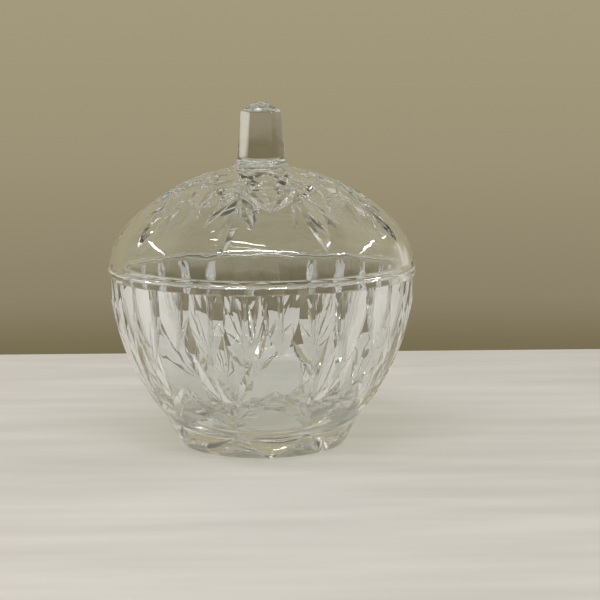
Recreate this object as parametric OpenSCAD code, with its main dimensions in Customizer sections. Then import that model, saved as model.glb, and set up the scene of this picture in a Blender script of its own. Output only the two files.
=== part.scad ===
// Round covered powder jar in clear pressed crystal: a thick-walled bowl and a domed lid with a six-sided knob.
// The origin is at the centre of the foot, on the table. +Z is up, and -Y is the front.

/* [Bowl] */
// Outside diameter of the jar at its rim
jar_d = 115; // [110:1:120]
// Height of the bowl, from the table to its rim
bowl_h = 67; // [65:1:70]
// Radius of the arc that curves the bowl's side in towards the foot
side_arc = 87; // [86:1:91]
// Thickness of the bowl's wall
wall = 4.6; // [4:0.2:5.4]
// Thickness of the glass under the middle of the cavity
floor_t = 10; // [8:0.5:12]
// Distance across opposite corners of the nine-sided foot
foot_d = 61.8; // [61:0.2:63]
// Height at which the side meets the foot's flare
foot_h = 12; // [11:0.5:13]
// Depth of the shallow hollow under the foot
punt_depth = 1.2; // [0.6:0.2:2]

/* [Lid] */
// Height of the dome's crown above the bowl's rim
crown_h = 37.3; // [36.5:0.1:38.5]
// Radius of the dome's crown
crown_r = 69.2; // [68:0.2:70]
// Thickness of the dome
lid_wall = 4.4; // [4:0.2:5]
// How far the locating ring under the lid reaches into the bowl
ring_drop = 4; // [3:0.5:5]
// Thickness of the locating ring
ring_t = 2.6; // [2.2:0.2:3.4]
// Gap between the locating ring and the bowl's mouth
ring_gap = 0.6; // [0.4:0.1:1]

/* [Knob] */
// Distance across the knob's flats where it leaves the dome
knob_base_w = 15.6; // [15:0.1:17]
// Distance across the knob's flats at its shoulder
knob_top_w = 13.2; // [12:0.1:14]
// Height of the knob's shoulder above the crown
knob_h = 20.2; // [17:0.1:22]
// Rise of the knob's low pointed cap above its shoulder
cap_rise = 3; // [2:0.1:4]

/* [Cut pattern] */
// Turn of the first fan from the front, in degrees
pattern_turn = -15; // [-20:1:20]
// Angle between the two sides of a flute's shallow groove
flute_angle = 136; // [130:2:140]
// Angle between the two sides of a ray's groove
ray_angle = 110; // [100:5:120]

/* [Hidden] */

glass_tint = [0.86, 0.9, 0.87, 0.45];
round_fn = 180;
over = 1;                                   // how far a tool runs past what it cuts

rim_r = jar_d / 2;
mouth_r = rim_r - wall;
side_x = rim_r - side_arc;                  // centre of the side's arc, beyond the axis

// Nine fans stand round the jar, and the foot has a corner between each fan and the next.
fans = 9;
fan_step = 360 / fans;
lobe = fan_step / 2;                        // from a fan's middle to the plain lobe beside it
foot_r = foot_d / 2;
foot_flat = foot_r * cos(lobe) - 0.3;        // a little deeper than the corners, so that each corner is an edge
facet_top = foot_h - 0.8;                   // where a facet of the foot runs out, just under the side
punt_r = foot_flat - 5;
dish_r = 70;                                // the cavity has a dished floor

// The dome is a crown arc that runs into a tighter shoulder arc, blend_a degrees up from the level.
crown_z = bowl_h + crown_h - crown_r;
blend_a = 43;
shoulder_r = (rim_r - crown_r * cos(blend_a)) / (1 - cos(blend_a));
shoulder_x = (crown_r - shoulder_r) * cos(blend_a);
shoulder_z = crown_z + (crown_r - shoulder_r) * sin(blend_a);

ledge_t = 2.2;                              // thickness of the ledge that carries the locating ring

knob_sides = 6;
knob_z = bowl_h + crown_h;
knob_sink = 2.5;                            // how deep the knob's stem starts inside the crown
knob_fillet = 3.4;
cap_flat_w = 5;                             // width of the small flat on the cap's point

// Each fan has five rays: [degrees from the fan's middle, height of the tip above the fan's centre].
fan_z = 15.4;
bowl_rays = [[0, 36], [11, 25], [-11, 25], [20, 13.5], [-20, 13.5]];
// On the lid the tips are given as radii, and the fans point down.
lid_fan_r = 31;
lid_rays = [[0, 54], [11, 47], [-11, 47], [20, 41], [-20, 41]];
// Flutes between the fans: [degrees from the fan's middle, height of the lower end].
flutes = [[5, 43], [15, 34], [-15, 34], [-5, 43]];
flute_top = bowl_h - 2.8;
ray_start = 0.15;                           // share of its length at which a ray starts, out from the fan's centre
ray_sink = 0.4;                             // how far a ray's ends are sunk, so that its points stay crisp

function unit(v) = v / norm(v);
function at(az, r, z) = [r * sin(az), -r * cos(az), z];
// Outer radius of the bowl at height z, and outer height of the dome at radius r.
function side_r(z) = side_x + sqrt(pow(side_arc, 2) - pow(bowl_h - z, 2));
function dome_z(r) = r < crown_r * cos(blend_a)
    ? crown_z + sqrt(pow(crown_r, 2) - pow(r, 2))
    : shoulder_z + sqrt(pow(shoulder_r, 2) - pow(r - shoulder_x, 2));

// Places the child, which is drawn along +Z and opens towards +Y, along the line p to q, opening away from the axis.
module along(p, q, outward) {
    u = unit(q - p);
    n = unit(outward - (outward * u) * u);
    t = cross(n, u);
    s = p - over * u;
    multmatrix([[t.x, n.x, u.x, s.x], [t.y, n.y, u.y, s.y], [t.z, n.z, u.z, s.z], [0, 0, 0, 1]])
        children();
}

// Bar with a V-shaped edge, which leaves a groove of the given angle.
module groove_tool(length, angle) {
    rise = 3;
    side = rise * tan(angle / 2);
    linear_extrude(height = length + 2 * over) polygon([[0, 0], [side, rise], [-side, rise]]);
}

module bowl_fan(az) {
    for (ray = bowl_rays) {
        low_z = fan_z + ray[1] * ray_start;
        p = at(az + ray[0] * ray_start, side_r(low_z) - ray_sink, low_z);
        tip_z = fan_z + ray[1];
        q = at(az + ray[0], side_r(tip_z) - ray_sink, tip_z);
        along(p, q, at(az + ray[0] / 2, 1, -0.2)) groove_tool(norm(q - p), ray_angle);
    }
}

module bowl_flutes(az) {
    for (flute = flutes) {
        p = at(az + flute[0], side_r(flute[1]), flute[1]);
        q = at(az + flute[0], side_r(flute_top), flute_top);
        along(p, q, at(az + flute[0], 1, 0)) groove_tool(norm(q - p), flute_angle);
    }
}

module lid_fan(az) {
    for (ray = lid_rays) {
        start_r = lid_fan_r + (ray[1] - lid_fan_r) * ray_start;
        p = at(az + ray[0] * ray_start, start_r, dome_z(start_r) - ray_sink);
        q = at(az + ray[0], ray[1], dome_z(ray[1]) - ray_sink);
        along(p, q, at(az + ray[0] / 2, 0.6, 0.8)) groove_tool(norm(q - p), ray_angle);
    }
}

// Radius of the flare under the side, at height z.
function flare_r(z) = foot_r + (side_r(foot_h) - foot_r) * z / foot_h;

// Half outline of the bowl's outer side. The flare crosses the side's arc at foot_h, and ends just inside it.
module bowl_outline() {
    flare_top = foot_h + over;
    intersection() {
        translate([side_x, bowl_h]) circle(r = side_arc, $fn = round_fn);
        translate([0, foot_h / 2]) square([rim_r, bowl_h - foot_h / 2]);
    }
    polygon([[0, 0], [foot_r, 0], [flare_r(flare_top), flare_top], [0, flare_top]]);
}

module cavity_outline() {
    intersection() {
        translate([side_x, bowl_h]) circle(r = side_arc - wall, $fn = round_fn);
        union() {
            translate([0, floor_t + dish_r]) circle(r = dish_r, $fn = round_fn);
            translate([0, floor_t + dish_r / 2]) square([rim_r, bowl_h]);
        }
        square([rim_r, bowl_h + over]);
    }
}

// Cuts one flat side of the foot: a plane from the foot's straight edge up to the flare at facet_top.
module foot_facet(az) {
    lean = atan((flare_r(facet_top) - foot_flat) / facet_top);
    rotate([0, 0, az]) translate([0, -foot_flat, 0]) rotate([lean, 0, 0])
        translate([-foot_r, -foot_r, -foot_r]) cube([2 * foot_r, foot_r, 3 * foot_r]);
}

module bowl() {
    color(glass_tint) difference() {
        rotate_extrude($fn = round_fn) bowl_outline();
        rotate_extrude($fn = round_fn) cavity_outline();
        translate([0, 0, -over]) cylinder(r = punt_r, h = over + punt_depth, $fn = round_fn);
        for (i = [0 : fans - 1]) {
            az = pattern_turn + i * fan_step;
            foot_facet(az);
            bowl_fan(az);
            bowl_flutes(az);
        }
    }
}

// Half outline of the dome, drawn inset from the outer surface.
module dome_outline(inset) {
    reach = 2 * crown_r;
    intersection() {
        union() {
            intersection() {
                translate([0, crown_z]) circle(r = crown_r - inset, $fn = round_fn);
                translate([0, crown_z]) polygon([[0, 0], [reach * cos(blend_a), reach * sin(blend_a)], [0, reach]]);
            }
            translate([shoulder_x, shoulder_z]) circle(r = shoulder_r - inset, $fn = round_fn);
        }
        translate([0, bowl_h]) square([rim_r, crown_h]);
    }
}

// One flat of the knob, as the solid outside it.
module knob_flat() {
    rise = knob_h + knob_sink;
    lean = atan((knob_base_w - knob_top_w) / 2 / knob_h);
    translate([0, -knob_base_w / 2, knob_z]) rotate([-lean, 0, 0])
        translate([-knob_base_w, -knob_base_w, -rise]) cube([2 * knob_base_w, knob_base_w, 3 * rise]);
}

// One sloping face of the knob's cap, as the solid above it.
module cap_flat() {
    lean = atan(cap_rise / ((knob_top_w - cap_flat_w) / 2));
    translate([0, -knob_top_w / 2, knob_z + knob_h]) rotate([lean, 0, 0])
        translate([-knob_base_w, -knob_base_w, 0]) cube([2 * knob_base_w, 3 * knob_base_w, knob_base_w]);
}

module knob() {
    difference() {
        translate([0, 0, knob_z - knob_sink])
            cylinder(r = knob_base_w, h = knob_sink + knob_h + cap_rise, $fn = round_fn);
        for (i = [0 : knob_sides - 1]) rotate([0, 0, i * 360 / knob_sides]) {
            knob_flat();
            cap_flat();
        }
    }
}

// Hollow sweep of glass where the knob grows out of the dome.
module knob_root() {
    foot = knob_base_w / 2 + knob_fillet;
    translate([0, 0, dome_z(foot)]) rotate_extrude($fn = round_fn) difference() {
        translate([0, -over]) square([foot, knob_fillet + over]);
        translate([foot, knob_fillet]) circle(r = knob_fillet, $fn = round_fn);
    }
}

// Ring that drops into the bowl's mouth, with the ledge that joins it to the dome.
module locating_ring() {
    ring_r = mouth_r - ring_gap;
    difference() {
        union() {
            translate([0, 0, bowl_h - ring_drop]) cylinder(r = ring_r, h = ring_drop + over, $fn = round_fn);
            translate([0, 0, bowl_h]) cylinder(r = rim_r - lid_wall / 2, h = ledge_t, $fn = round_fn);
        }
        translate([0, 0, bowl_h - ring_drop - over])
            cylinder(r = ring_r - ring_t, h = ring_drop + ledge_t + 2 * over, $fn = round_fn);
    }
}

module lid() {
    color(glass_tint) difference() {
        union() {
            rotate_extrude($fn = round_fn) difference() {
                dome_outline(0);
                dome_outline(lid_wall);
            }
            locating_ring();
            knob_root();
            knob();
        }
        for (i = [0 : fans - 1]) lid_fan(pattern_turn + i * fan_step);
    }
}

bowl();
lid();
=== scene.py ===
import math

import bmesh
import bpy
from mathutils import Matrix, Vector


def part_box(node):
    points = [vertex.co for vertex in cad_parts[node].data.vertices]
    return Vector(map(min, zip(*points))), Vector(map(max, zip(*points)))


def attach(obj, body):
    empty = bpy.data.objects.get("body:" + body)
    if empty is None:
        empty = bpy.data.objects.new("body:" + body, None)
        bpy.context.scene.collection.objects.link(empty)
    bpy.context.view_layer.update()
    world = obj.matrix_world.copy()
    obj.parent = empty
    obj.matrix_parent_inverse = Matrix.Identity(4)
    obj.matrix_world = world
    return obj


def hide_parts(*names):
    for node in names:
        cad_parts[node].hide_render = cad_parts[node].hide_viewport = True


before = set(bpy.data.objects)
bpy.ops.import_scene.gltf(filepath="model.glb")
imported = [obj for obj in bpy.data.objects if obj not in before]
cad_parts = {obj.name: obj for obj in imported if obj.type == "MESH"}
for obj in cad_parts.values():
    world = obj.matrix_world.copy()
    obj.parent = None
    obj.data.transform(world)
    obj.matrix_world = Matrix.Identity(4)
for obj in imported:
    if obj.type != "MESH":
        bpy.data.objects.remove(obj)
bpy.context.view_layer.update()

# Round covered powder jar in clear pressed crystal. The two pressings, bowl and lid, are lathed blanks, which are
# then cut with fans of mitred rays, upright flutes, a star round the knob and the pointed arches of the foot. The
# shapes are drawn in millimetres in the CAD frame: the origin is under the middle of the foot, +Z is up, and -Y is
# the front.

MM = 0.001

# ---------------------------------------------------------------------------------------------------------------
# Sizes, in millimetres. The overall ones come from the frame.
# ---------------------------------------------------------------------------------------------------------------

bowl_low, bowl_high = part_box("bowl")
lid_low, lid_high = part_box("lid")
RIM_R = bowl_high.x / MM
BOWL_H = bowl_high.z / MM
TOTAL_H = lid_high.z / MM

# Bowl: the side is one arc about a point beyond the axis.
SIDE_ARC = 87
WALL = 4.6
FLOOR_T = 10
DISH_R = 70
FLOOR_FILLET = 8
FOOT_R = 30.9
FOOT_H = 12
PUNT_R = 23
PUNT_DEPTH = 1.2
BOWL_RIM_ROUND = 0.9
SIDE_X = RIM_R - SIDE_ARC

# Lid: a crown arc that runs into a tighter shoulder arc, BLEND degrees up from the level.
CROWN_H = 37.3
CROWN_R = 69.2
BLEND = 43
LID_WALL = 4.4
RING_DROP = 1.6
RING_T = 1.8
LEDGE_T = 1.2
RING_GAP = 0.6
RING_ROUND = 0.8
LEDGE_ROUND = 0.6
LID_RIM_ROUND = 0.8
# The lid stops this far short of the bowl's rim, so that no two faces lie in one plane.
SEAT_LIFT = 0.02
CROWN_Z = BOWL_H + CROWN_H - CROWN_R
SHOULDER_R = (RIM_R - CROWN_R * math.cos(math.radians(BLEND))) / (1 - math.cos(math.radians(BLEND)))
SHOULDER_X = (CROWN_R - SHOULDER_R) * math.cos(math.radians(BLEND))
SHOULDER_Z = CROWN_Z + (CROWN_R - SHOULDER_R) * math.sin(math.radians(BLEND))

# Knob: six flats that narrow upwards, under a low pointed cap. Widths are across the flats.
KNOB_BASE_W = 15.6
KNOB_TOP_W = 13.2
CAP_RISE = 3
CAP_FLAT_W = 4.6
KNOB_FILLET = 3.4
KNOB_ARRIS = 0.35

# Cut pattern: nine fans, and a plain lobe halfway between each fan and the next. Each ray is [degrees from the
# middle of its fan, how high or how far out its tip is], and SINK is how deep the rays start.
FANS = 9
FAN_STEP = 360 / FANS
PATTERN_TURN = -14.8
FAN_Z = 14.4
BOWL_RAYS = ((0, 36.8), (11, 25.9), (-11, 25.9), (20, 14.3), (-20, 14.3))
BOWL_RAY_ANGLE = 110
BOWL_RAY_SINK = 1.2
LID_FAN_R = 31
LID_RAYS = ((0, 54), (11, 47), (-11, 47), (20, 41), (-20, 41))
LID_RAY_ANGLE = 122
LID_RAY_SINK = 1
RAY_NOSE = 0.25
# A star round the knob: each of its grooves runs from a lobe to this radius at the next lobe but a fan away.
STAR_R = 16
STAR_LIFT = 0.2
# Three hollow flutes stand between each fan and the next: [degrees from the lobe, height of the lower end].
FLUTES = ((-40 / 3, 38), (0, 42.6), (40 / 3, 38))
FLUTE_TURN = 1.5
FLUTE_ANGLE = 132
FLUTE_NOSE = 3
FLUTE_DEPTH = 3.6
FLUTE_TOP = BOWL_H - 4

# Nine pointed arches are cut into the foot: the height of their tops, and where their grooves end over the disc.
ARCH_ANGLE = 140
ARCH_NOSE = 0.3
ARCH_TOP = 10.4
ARCH_R = 26
ARCH_LOW = 1.5
DISC_T = 0.9
DISC_BEVEL = 0.3

# How far the cutting bars stand up above the glass, and how far they run on past their ends.
RAY_RISE = 3
WIDE_RISE = 6
BAR_REACH = 1.0

LATHE_STEPS = 288
NOSE_STEPS = 16
SMOOTH_ANGLE = 14


# ---------------------------------------------------------------------------------------------------------------
# Shape helpers
# ---------------------------------------------------------------------------------------------------------------

def at(azimuth, r, z):
    """A point at that many degrees round the jar from the front, towards +X."""
    a = math.radians(azimuth)
    return Vector((r * math.sin(a), -r * math.cos(a), z))


def arc(x, z, radius, start, end, steps):
    """Points of an arc in the half plane (r, z), with angles in degrees up from the level."""
    turns = [math.radians(start + (end - start) * i / steps) for i in range(steps + 1)]
    return [(x + radius * math.cos(t), z + radius * math.sin(t)) for t in turns]


def side_r(z):
    """Outer radius of the bowl at height z."""
    return SIDE_X + math.sqrt(SIDE_ARC ** 2 - (BOWL_H - z) ** 2)


def dome_z(r):
    """Height of the dome's outer face at radius r."""
    if r < CROWN_R * math.cos(math.radians(BLEND)):
        return CROWN_Z + math.sqrt(CROWN_R ** 2 - r ** 2)
    return SHOULDER_Z + math.sqrt(SHOULDER_R ** 2 - (r - SHOULDER_X) ** 2)


def side_normal(point):
    """Which way the bowl's side faces at that point."""
    flat = Vector((point.x, point.y, 0))
    return flat.normalized() * (flat.length - SIDE_X) + Vector((0, 0, point.z - BOWL_H))


def dome_normal(point):
    """Which way the lid's crown faces at that point."""
    return point - Vector((0, 0, CROWN_Z))


def mesh_object(name, bm):
    """Puts a bmesh into a new object and frees it."""
    mesh = bpy.data.meshes.new(name)
    bm.to_mesh(mesh)
    bm.free()
    piece = bpy.data.objects.new(name, mesh)
    bpy.context.scene.collection.objects.link(piece)
    return piece


def spun(outline, steps):
    """A closed solid spun from an outline that starts and ends on the axis."""
    bm = bmesh.new()
    verts = [bm.verts.new((r, 0, z)) for r, z in outline]
    edges = [bm.edges.new(pair) for pair in zip(verts, verts[1:])]
    bmesh.ops.spin(bm, geom=verts + edges, cent=(0, 0, 0), axis=(0, 0, 1), angle=math.tau,
                   steps=steps, use_merge=True)
    bmesh.ops.remove_doubles(bm, verts=bm.verts, dist=1e-4)
    bmesh.ops.dissolve_degenerate(bm, edges=bm.edges, dist=1e-5)
    bmesh.ops.recalc_face_normals(bm, faces=bm.faces)
    return bm


def add_bar(bm, start, end, outward, section):
    """Adds a straight cutting bar whose edge runs from start to end and which opens towards outward."""
    along = (end - start).normalized()
    out = (outward - outward.dot(along) * along).normalized()
    across = out.cross(along)
    low = start - BAR_REACH * along
    verts = [bm.verts.new(low + x * across + y * out) for x, y in section]
    face = bm.faces.new(verts)
    grown = bmesh.ops.extrude_face_region(bm, geom=[face])
    tips = [v for v in grown["geom"] if isinstance(v, bmesh.types.BMVert)]
    bmesh.ops.translate(bm, verts=tips, vec=(end - start) + 2 * BAR_REACH * along)


def groove_section(angle, nose, rise):
    """Outline of a cutting bar: a V of that angle with a round nose, whose lowest point is at zero."""
    half = math.radians(angle / 2)
    turn = math.pi / 2 - half
    tips = [turn * (2 * i / NOSE_STEPS - 1) for i in range(NOSE_STEPS + 1)]
    points = [(nose * math.sin(t), nose - nose * math.cos(t)) for t in tips]
    side = points[-1][0] + (rise - points[-1][1]) * math.tan(half)
    return [(-side, rise)] + points + [(side, rise)]


def carve(piece, tools, operation="DIFFERENCE"):
    """Cuts the tools out of the piece, or joins them to it, one after another, and removes them."""
    for tool in tools:
        cut = piece.modifiers.new(tool.name, "BOOLEAN")
        cut.solver = "MANIFOLD"
        cut.operation = operation
        cut.object = tool
    solid = piece.evaluated_get(bpy.context.evaluated_depsgraph_get())
    mesh = bpy.data.meshes.new_from_object(solid)
    piece.modifiers.clear()
    piece.data = mesh
    for tool in tools:
        bpy.data.objects.remove(tool)


def finish_surface(piece):
    """Brings a piece from millimetres to metres, and keeps its cut edges crisp while its curves shade smooth."""
    piece.data.transform(Matrix.Scale(MM, 4))
    bm = bmesh.new()
    bm.from_mesh(piece.data)
    bmesh.ops.remove_doubles(bm, verts=bm.verts, dist=0.002 * MM)
    bmesh.ops.dissolve_degenerate(bm, edges=bm.edges, dist=0.001 * MM)
    bmesh.ops.recalc_face_normals(bm, faces=bm.faces)
    bm.to_mesh(piece.data)
    bm.free()
    piece.data.shade_smooth()
    piece.data.set_sharp_from_angle(angle=math.radians(SMOOTH_ANGLE))


# ---------------------------------------------------------------------------------------------------------------
# Bowl
# ---------------------------------------------------------------------------------------------------------------

def bowl_blank():
    """The pressed bowl before its pattern: foot, flare, side arc, rim, inner wall and dished floor."""
    low = math.degrees(math.asin((FOOT_H - BOWL_H) / SIDE_ARC))
    high = -math.degrees(BOWL_RIM_ROUND / SIDE_ARC)
    inner_arc = SIDE_ARC - WALL
    floor_z = FLOOR_T + DISH_R
    # The floor's arc meets the wall's arc in a fillet, whose centre is FLOOR_FILLET inside both.
    wall_gap = inner_arc - FLOOR_FILLET
    dish_gap = DISH_R - FLOOR_FILLET
    span = Vector((SIDE_X, BOWL_H)) - Vector((0, floor_z))
    reach = (dish_gap ** 2 - wall_gap ** 2 + span.length_squared) / (2 * span.length)
    drop = math.sqrt(dish_gap ** 2 - reach ** 2)
    unit = span.normalized()
    fillet = Vector((0, floor_z)) + reach * unit + drop * Vector((-unit.y, unit.x))
    if fillet.x < 0:
        fillet = Vector((0, floor_z)) + reach * unit - drop * Vector((-unit.y, unit.x))
    wall_a = math.degrees(math.atan2(fillet.y - BOWL_H, fillet.x - SIDE_X))
    dish_a = math.degrees(math.atan2(fillet.y - floor_z, fillet.x))
    outline = [(0, PUNT_DEPTH), (PUNT_R, PUNT_DEPTH), (PUNT_R + 1, 0), (FOOT_R, 0)]
    outline += arc(SIDE_X, BOWL_H, SIDE_ARC, low, high, 72)
    outline += arc(RIM_R - BOWL_RIM_ROUND, BOWL_H - BOWL_RIM_ROUND, BOWL_RIM_ROUND, 10, 90, 5)
    outline += arc(RIM_R - WALL + BOWL_RIM_ROUND, BOWL_H - BOWL_RIM_ROUND, BOWL_RIM_ROUND, 90, 170, 5)
    outline += arc(SIDE_X, BOWL_H, inner_arc, high, wall_a, 60)
    outline += arc(fillet.x, fillet.y, FLOOR_FILLET, wall_a, dish_a, 12)[1:]
    outline += arc(0, floor_z, DISH_R, dish_a, -90, 16)[1:]
    return mesh_object("bowl_crystal", spun(outline, LATHE_STEPS))


def fan_tools(name, centre, tips, angle, facing):
    """One cutter for each ray of a fan, each with that ray of all the fans, so that no cutter meets itself.

    The rays open the way the glass faces halfway along them, so that both their slopes are equally wide.
    """
    tools = []
    section = groove_section(angle, RAY_NOSE, RAY_RISE)
    for i, (turn, tip) in enumerate(tips):
        bm = bmesh.new()
        for k in range(FANS):
            middle = PATTERN_TURN + k * FAN_STEP
            start = centre(middle)
            end = tip(middle + turn)
            add_bar(bm, start, end, facing((start + end) / 2), section)
        bmesh.ops.recalc_face_normals(bm, faces=bm.faces)
        tools.append(mesh_object(f"{name}_{i}", bm))
    return tools


def bowl_fan_tools():
    tips = [(turn, lambda a, z=FAN_Z + rise: at(a, side_r(z), z)) for turn, rise in BOWL_RAYS]
    return fan_tools("bowl_ray", lambda a: at(a, side_r(FAN_Z) - BOWL_RAY_SINK, FAN_Z), tips,
                     BOWL_RAY_ANGLE, side_normal)


def flute_tools():
    """Bars that cut the upright flutes: each is deepest at its upper end and fades out at its lower one."""
    section = groove_section(FLUTE_ANGLE, FLUTE_NOSE, WIDE_RISE)
    tools = []
    for turn, low in FLUTES:
        bm = bmesh.new()
        for k in range(FANS):
            a = PATTERN_TURN + FLUTE_TURN + (k + 0.5) * FAN_STEP + turn
            start = at(a, side_r(low), low)
            end = at(a, side_r(FLUTE_TOP) - FLUTE_DEPTH, FLUTE_TOP)
            add_bar(bm, start, end, at(a, 1, 0), section)
        bmesh.ops.recalc_face_normals(bm, faces=bm.faces)
        tools.append(mesh_object("flute", bm))
    return tools


def foot_tools():
    """Bars that cut the nine pointed arches of the foot, each under a fan."""
    flare = (side_r(FOOT_H) - FOOT_R) / FOOT_H
    section = groove_section(ARCH_ANGLE, ARCH_NOSE, WIDE_RISE)
    bm = bmesh.new()
    for k in range(FANS):
        a = PATTERN_TURN + k * FAN_STEP
        start = at(a, FOOT_R + flare * ARCH_TOP, ARCH_TOP)
        end = at(a, ARCH_R, ARCH_LOW)
        add_bar(bm, start, end, at(a, 1, 0), section)
    bmesh.ops.recalc_face_normals(bm, faces=bm.faces)
    return [mesh_object("arch", bm)]


def foot_disc():
    """The thin round disc that the foot stands on, under its arches."""
    outline = [(0, PUNT_DEPTH), (PUNT_R, PUNT_DEPTH), (PUNT_R + 1, 0), (FOOT_R - DISC_BEVEL, 0),
               (FOOT_R, DISC_BEVEL), (FOOT_R, DISC_T), (0, PUNT_DEPTH + DISC_T)]
    return mesh_object("foot_disc", spun(outline, LATHE_STEPS))


def build_bowl():
    bowl = bowl_blank()
    carve(bowl, foot_tools())
    carve(bowl, [foot_disc()], "UNION")
    carve(bowl, flute_tools() + bowl_fan_tools())
    finish_surface(bowl)
    return bowl


# ---------------------------------------------------------------------------------------------------------------
# Lid
# ---------------------------------------------------------------------------------------------------------------

def lid_blank():
    """The dome with its seat and locating ring, before the pattern and the knob."""
    ring_r = RIM_R - WALL - RING_GAP
    seat = BOWL_H + SEAT_LIFT
    turn = math.degrees(math.asin((seat + LID_RIM_ROUND - SHOULDER_Z) / SHOULDER_R))
    outline = arc(0, CROWN_Z, CROWN_R, 90, BLEND, 60)
    outline += arc(SHOULDER_X, SHOULDER_Z, SHOULDER_R, BLEND, turn, 30)[1:]
    rim_x = outline[-1][0] - LID_RIM_ROUND
    outline += arc(rim_x, seat + LID_RIM_ROUND, LID_RIM_ROUND, -10, -90, 5)
    outline += [(ring_r, seat)]
    ring_z = seat - RING_DROP + RING_ROUND
    outline += arc(ring_r - RING_ROUND, ring_z, RING_ROUND, 0, -90, 4)
    outline += arc(ring_r - RING_T + RING_ROUND, ring_z, RING_ROUND, -90, -180, 4)
    ledge_z = seat + LEDGE_T
    inner_r = SHOULDER_R - LID_WALL
    inner_low = math.degrees(math.asin((ledge_z - SHOULDER_Z) / inner_r))
    ring_x = ring_r - RING_T
    outline += arc(ring_x + LEDGE_ROUND, ledge_z - LEDGE_ROUND, LEDGE_ROUND, 180, 90, 4)
    outline += arc(SHOULDER_X, SHOULDER_Z, inner_r, inner_low, BLEND, 24)
    outline += arc(0, CROWN_Z, CROWN_R - LID_WALL, BLEND, 90, 50)[1:]
    return mesh_object("lid_crystal", spun(outline, LATHE_STEPS))


def knob():
    """Six-sided knob, drawn upwards ring by ring: the sweep out of the dome, the tapered stem, and the cap."""
    shoulder = TOTAL_H - CAP_RISE
    foot = dome_z(KNOB_BASE_W / 2)
    rings = [(foot - 3, KNOB_BASE_W / 2 + KNOB_FILLET)]
    sweep = [math.radians(a) for a in range(0, 91, 15)]
    rings += [(foot - 0.4 + KNOB_FILLET * (1 - math.cos(a)),
               KNOB_BASE_W / 2 + KNOB_FILLET * (1 - math.sin(a))) for a in sweep]
    rings += [(shoulder - 0.35, KNOB_TOP_W / 2 + 0.04), (shoulder - 0.1, KNOB_TOP_W / 2 - 0.08)]
    rings += [(shoulder + 0.1, KNOB_TOP_W / 2 - 0.4), (TOTAL_H - 0.15, CAP_FLAT_W / 2 + 0.2),
              (TOTAL_H, CAP_FLAT_W / 2 - 0.3)]
    bm = bmesh.new()
    # A hexagon with rounded corners, of half width 1, with a flat to the front.
    bmesh.ops.create_circle(bm, segments=6, radius=1 / math.cos(math.radians(30)), cap_ends=True)
    bmesh.ops.rotate(bm, verts=bm.verts, cent=(0, 0, 0), matrix=Matrix.Rotation(math.radians(30), 3, "Z"))
    bmesh.ops.bevel(bm, geom=list(bm.verts), offset=KNOB_ARRIS / (KNOB_BASE_W / 2), offset_type="OFFSET",
                    segments=3, profile=0.5, affect="VERTICES", material=-1)
    face = max(bm.faces, key=lambda f: f.calc_area())
    height, half = rings[0]
    bmesh.ops.scale(bm, verts=bm.verts, vec=(half, half, 1))
    bmesh.ops.translate(bm, verts=bm.verts, vec=(0, 0, height))
    for z, w in rings[1:]:
        grown = bmesh.ops.extrude_face_region(bm, geom=[face])
        if height > rings[0][0]:
            bmesh.ops.delete(bm, geom=[face], context="FACES_ONLY")
        face = [f for f in grown["geom"] if isinstance(f, bmesh.types.BMFace)][0]
        bmesh.ops.scale(bm, verts=face.verts, vec=(w / half, w / half, 1))
        bmesh.ops.translate(bm, verts=face.verts, vec=(0, 0, z - height))
        height, half = z, w
    bmesh.ops.recalc_face_normals(bm, faces=bm.faces)
    return mesh_object("knob", bm)


def lid_fan_tools():
    tips = [(turn, lambda a, r=reach: at(a, r, dome_z(r))) for turn, reach in LID_RAYS]
    return fan_tools("lid_ray", lambda a: at(a, LID_FAN_R, dome_z(LID_FAN_R) - LID_RAY_SINK), tips,
                     LID_RAY_ANGLE, dome_normal)


def star_tools():
    """The grooves of the star round the knob, each way round as a cutter of its own."""
    outer = LID_RAYS[-1][1]
    section = groove_section(LID_RAY_ANGLE, RAY_NOSE, RAY_RISE)
    tools = []
    for way in (1, -1):
        for part in range(3):
            bm = bmesh.new()
            for k in range(part, FANS, 3):
                lobe = PATTERN_TURN + (k + 0.5) * FAN_STEP
                start = at(lobe, outer, dome_z(outer) + STAR_LIFT)
                end = at(lobe + way * FAN_STEP, STAR_R, dome_z(STAR_R) + STAR_LIFT)
                add_bar(bm, start, end, dome_normal((start + end) / 2), section)
            bmesh.ops.recalc_face_normals(bm, faces=bm.faces)
            tools.append(mesh_object("star", bm))
    return tools


def build_lid():
    lid = lid_blank()
    carve(lid, [knob()], "UNION")
    carve(lid, lid_fan_tools() + star_tools())
    finish_surface(lid)
    return lid


# ---------------------------------------------------------------------------------------------------------------
# Materials
# ---------------------------------------------------------------------------------------------------------------

def linear(hex_colour):
    """An sRGB hex colour as linear red, green, blue and alpha."""
    parts = [int(hex_colour[i:i + 2], 16) / 255 for i in (1, 3, 5)]
    return tuple(c / 12.92 if c <= 0.04045 else ((c + 0.055) / 1.055) ** 2.4 for c in parts) + (1.0,)


def add(tree, kind, settings=(), inputs=(), links=()):
    """Adds a node, sets its properties and input values, and links its inputs from other nodes' outputs."""
    node = tree.nodes.new(kind)
    for name, value in dict(settings).items():
        setattr(node, name, value)
    for name, value in dict(inputs).items():
        node.inputs[name].default_value = value
    for name, source in dict(links).items():
        tree.links.new(source, node.inputs[name])
    return node


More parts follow.
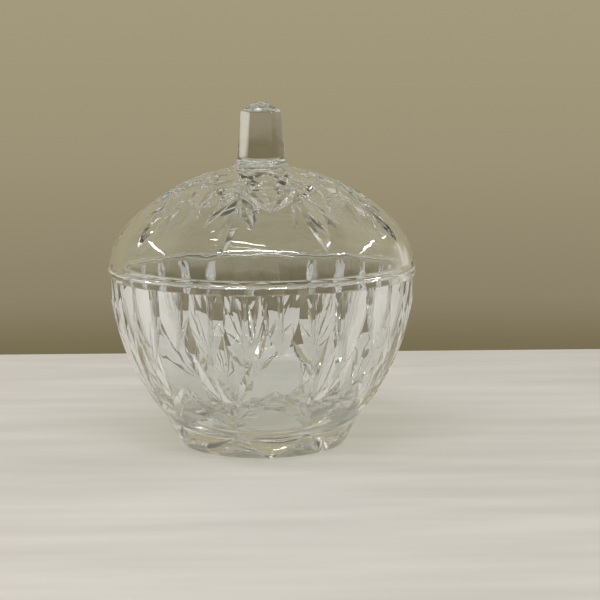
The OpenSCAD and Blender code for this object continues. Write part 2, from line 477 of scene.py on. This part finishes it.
def pressed_crystal(name):
    """Clear lead crystal, pressed in a mould and fire polished: bright, nearly colourless, and a little wavy.

    The waviness bends the lines seen through the walls, as the skin of pressed glass does.
    """
    material = bpy.data.materials.new(name)
    material.use_nodes = True
    tree = material.node_tree
    tree.nodes.clear()
    place = add(tree, "ShaderNodeTexCoord").outputs["Object"]
    wave = add(tree, "ShaderNodeTexNoise", inputs={"Scale": 1 / (9 * MM), "Detail": 1.0},
               links={"Vector": place})
    bump = add(tree, "ShaderNodeBump", inputs={"Strength": 0.6, "Distance": 0.2 * MM},
               links={"Height": wave.outputs["Fac"]})
    glass = add(tree, "ShaderNodeBsdfPrincipled",
                inputs={"Base Color": linear("#fafcfd"), "Roughness": 0.0, "IOR": 1.54,
                        "Transmission Weight": 1.0},
                links={"Normal": bump.outputs["Normal"]})
    # Lamps shine through the walls, so that the table under the jar stays bright, with a soft pale shadow.
    through = add(tree, "ShaderNodeBsdfTransparent", inputs={"Color": linear("#f1f2ef")})
    path = add(tree, "ShaderNodeLightPath")
    soft = add(tree, "ShaderNodeMath", settings={"operation": "MAXIMUM"})
    tree.links.new(path.outputs["Is Shadow Ray"], soft.inputs[0])
    tree.links.new(path.outputs["Is Diffuse Ray"], soft.inputs[1])
    surface = add(tree, "ShaderNodeMixShader", links={"Fac": soft.outputs["Value"]})
    tree.links.new(glass.outputs["BSDF"], surface.inputs[1])
    tree.links.new(through.outputs["BSDF"], surface.inputs[2])
    add(tree, "ShaderNodeOutputMaterial", links={"Surface": surface.outputs["Shader"]})
    return material


def matt_top(name, colour):
    """Painted table top, almost matt, with faint soft streaks of painted light along its length, standing for the
    caustics that the cut glass throws.
    """
    material = bpy.data.materials.new(name)
    material.use_nodes = True
    tree = material.node_tree
    tree.nodes.clear()
    place = add(tree, "ShaderNodeTexCoord").outputs["Object"]
    # Painted light: soft lighter and darker streaks, stretched along X, are painted into the top's colour in place
    # of caustics from the jar.
    along = add(tree, "ShaderNodeMapping", inputs={"Scale": (1.0, 7.0, 1.0)}, links={"Vector": place})
    painted_caustics = add(tree, "ShaderNodeTexNoise", inputs={"Scale": 1 / (110 * MM), "Detail": 2.0},
                 links={"Vector": along.outputs["Vector"]})
    caustic_light = add(tree, "ShaderNodeMapRange",
               inputs={"From Min": 0.3, "From Max": 0.7, "To Min": 0.92, "To Max": 1.06},
               links={"Value": painted_caustics.outputs["Fac"]})
    shade = add(tree, "ShaderNodeVectorMath", settings={"operation": "SCALE"},
                inputs={0: linear(colour)[:3]}, links={"Scale": caustic_light.outputs["Result"]})
    paint = add(tree, "ShaderNodeBsdfPrincipled", inputs={"Roughness": 0.55},
                links={"Base Color": shade.outputs["Vector"]})
    add(tree, "ShaderNodeOutputMaterial", links={"Surface": paint.outputs["BSDF"]})
    return material


# ---------------------------------------------------------------------------------------------------------------
# Camera, table, room and lights
# ---------------------------------------------------------------------------------------------------------------

def aim_camera():
    camera = bpy.data.cameras.new("camera")
    camera.lens = 106.8
    camera.sensor_width = 36
    camera.clip_start = 0.01
    holder = bpy.data.objects.new("camera", camera)
    bpy.context.scene.collection.objects.link(holder)
    pitch, yaw, roll = (math.radians(a) for a in (9.13, 1.23, -0.3))
    aim = Matrix.Rotation(-yaw, 4, "Z") @ Matrix.Rotation(math.pi / 2 - pitch, 4, "X")
    holder.matrix_world = Matrix.Translation((0, -0.662, 0.1597)) @ aim @ Matrix.Rotation(roll, 4, "Z")
    bpy.context.scene.camera = holder


def lay_table():
    """A pale slab that ends a little way behind the jar."""
    width, depth, thickness, far_edge = 2.4, 1.0, 0.03, 0.175
    bm = bmesh.new()
    bmesh.ops.create_cube(bm, size=1)
    bmesh.ops.scale(bm, verts=bm.verts, vec=(width, depth, thickness))
    bmesh.ops.translate(bm, verts=bm.verts, vec=(0, far_edge - depth / 2, -thickness / 2))
    table = mesh_object("table", bm)
    table.data.materials.append(matt_top("painted_table_top", "#dcdcdf"))


def light_room():
    """The room: an olive wall close behind, a grey ceiling, and a dim room in front with a dark corner in it."""
    world = bpy.data.worlds.new("room")
    bpy.context.scene.world = world
    world.use_nodes = True
    tree = world.node_tree
    tree.nodes.clear()
    way = add(tree, "ShaderNodeTexCoord").outputs["Generated"]
    axes = add(tree, "ShaderNodeSeparateXYZ", links={"Vector": way})
    height = axes.outputs["Z"]
    level = add(tree, "ShaderNodeMapRange", inputs={"From Min": -1.0, "From Max": 1.0}, links={"Value": height})
    wall = add(tree, "ShaderNodeValToRGB", links={"Fac": level.outputs["Result"]})
    stops = ((-90, "#5a523c"), (-14, "#6b6247"), (-10.5, "#776e52"), (-9.1, "#8b8169"), (-4.3, "#9d9378"),
             (0.45, "#a39a7d"), (40, "#aaa287"), (90, "#b4ad94"))
    while len(wall.color_ramp.elements) < len(stops):
        wall.color_ramp.elements.new(0.5)
    for element, (elevation, colour) in zip(wall.color_ramp.elements, stops):
        element.position = (math.sin(math.radians(elevation)) + 1) / 2
        element.color = linear(colour)
    # The ceiling starts higher up behind the jar than in front of it.
    tilt = add(tree, "ShaderNodeMath", settings={"operation": "MULTIPLY_ADD"}, inputs={1: -0.3})
    tree.links.new(axes.outputs["Y"], tilt.inputs[0])
    tree.links.new(height, tilt.inputs[2])
    above = add(tree, "ShaderNodeMapRange", settings={"interpolation_type": "SMOOTHSTEP"},
                inputs={"From Min": 0.64, "From Max": 0.72}, links={"Value": tilt.outputs["Value"]})
    front = add(tree, "ShaderNodeMapRange", settings={"interpolation_type": "SMOOTHSTEP"},
                inputs={"From Min": 0.1, "From Max": -0.3}, links={"Value": axes.outputs["Y"]})
    # The dark corner is straight ahead of the jar, low down.
    nook = add(tree, "ShaderNodeVectorMath", settings={"operation": "DISTANCE"}, links={0: way},
               inputs={1: (0.0, -0.99, 0.12)})
    dark = add(tree, "ShaderNodeMapRange", settings={"interpolation_type": "SMOOTHSTEP"},
               inputs={"From Min": 0.3, "From Max": 0.2}, links={"Value": nook.outputs["Value"]})
    room = add(tree, "ShaderNodeMix", settings={"data_type": "RGBA"}, links={"Factor": dark.outputs["Result"]})
    room.inputs[6].default_value = linear("#3a362b")
    room.inputs[7].default_value = linear("#2a2720")
    sides = add(tree, "ShaderNodeMix", settings={"data_type": "RGBA"}, links={"Factor": front.outputs["Result"]})
    tree.links.new(wall.outputs["Color"], sides.inputs[6])
    tree.links.new(room.outputs[2], sides.inputs[7])
    # A pale screen stands well off to the right of the wall.
    screen = add(tree, "ShaderNodeVectorMath", settings={"operation": "DISTANCE"}, links={0: way},
                 inputs={1: (0.72, 0.69, 0.0)})
    pale = add(tree, "ShaderNodeMapRange", settings={"interpolation_type": "SMOOTHSTEP"},
               inputs={"From Min": 0.3, "From Max": 0.22}, links={"Value": screen.outputs["Value"]})
    walls = add(tree, "ShaderNodeMix", settings={"data_type": "RGBA"}, links={"Factor": pale.outputs["Result"]})
    tree.links.new(sides.outputs[2], walls.inputs[6])
    walls.inputs[7].default_value = linear("#cfc9b8")
    whole = add(tree, "ShaderNodeMix", settings={"data_type": "RGBA"}, links={"Factor": above.outputs["Result"]})
    tree.links.new(walls.outputs[2], whole.inputs[6])
    whole.inputs[7].default_value = linear("#625e4f")
    sky = add(tree, "ShaderNodeBackground", links={"Color": whole.outputs[2]})
    add(tree, "ShaderNodeOutputWorld", links={"Surface": sky.outputs["Background"]})


def hang_lamp(azimuth, elevation, length, power):
    """A long narrow lamp, seen from the jar in that direction."""
    distance, width = 1.0, 0.028
    lamp = bpy.data.lights.new("lamp", "AREA")
    lamp.shape = "ELLIPSE"
    lamp.size = length
    lamp.size_y = width
    lamp.energy = power
    lamp.color = linear("#fffaf2")[:3]
    holder = bpy.data.objects.new("lamp", lamp)
    bpy.context.scene.collection.objects.link(holder)
    rise = math.radians(elevation)
    place = at(azimuth, distance * math.cos(rise), distance * math.sin(rise))
    holder.matrix_world = Matrix.Translation(place) @ place.to_track_quat("Z", "Y").to_matrix().to_4x4()


def set_stage():
    aim_camera()
    lay_table()
    light_room()
    # [degrees round from the front, degrees up, length in metres, watts]
    lamps = ((-4, 60, 0.9, 3.7), (-35, 72, 0.6, 1.3), (-105, 36, 0.33, 2.6), (105, 36, 0.33, 2.2))
    for azimuth, elevation, length, power in lamps:
        hang_lamp(azimuth, elevation, length, power)
    scene = bpy.context.scene
    scene.view_settings.view_transform = "Standard"
    scene.cycles.max_bounces = 64
    scene.cycles.glossy_bounces = 48
    scene.cycles.transmission_bounces = 48
    scene.cycles.transparent_max_bounces = 16


# ---------------------------------------------------------------------------------------------------------------
# The jar
# ---------------------------------------------------------------------------------------------------------------

set_stage()
for piece, node in ((build_bowl(), "bowl"), (build_lid(), "lid")):
    piece.data.materials.clear()
    piece.data.materials.append(pressed_crystal(f"pressed_crystal_{node}"))
    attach(piece, node)
    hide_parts(node)
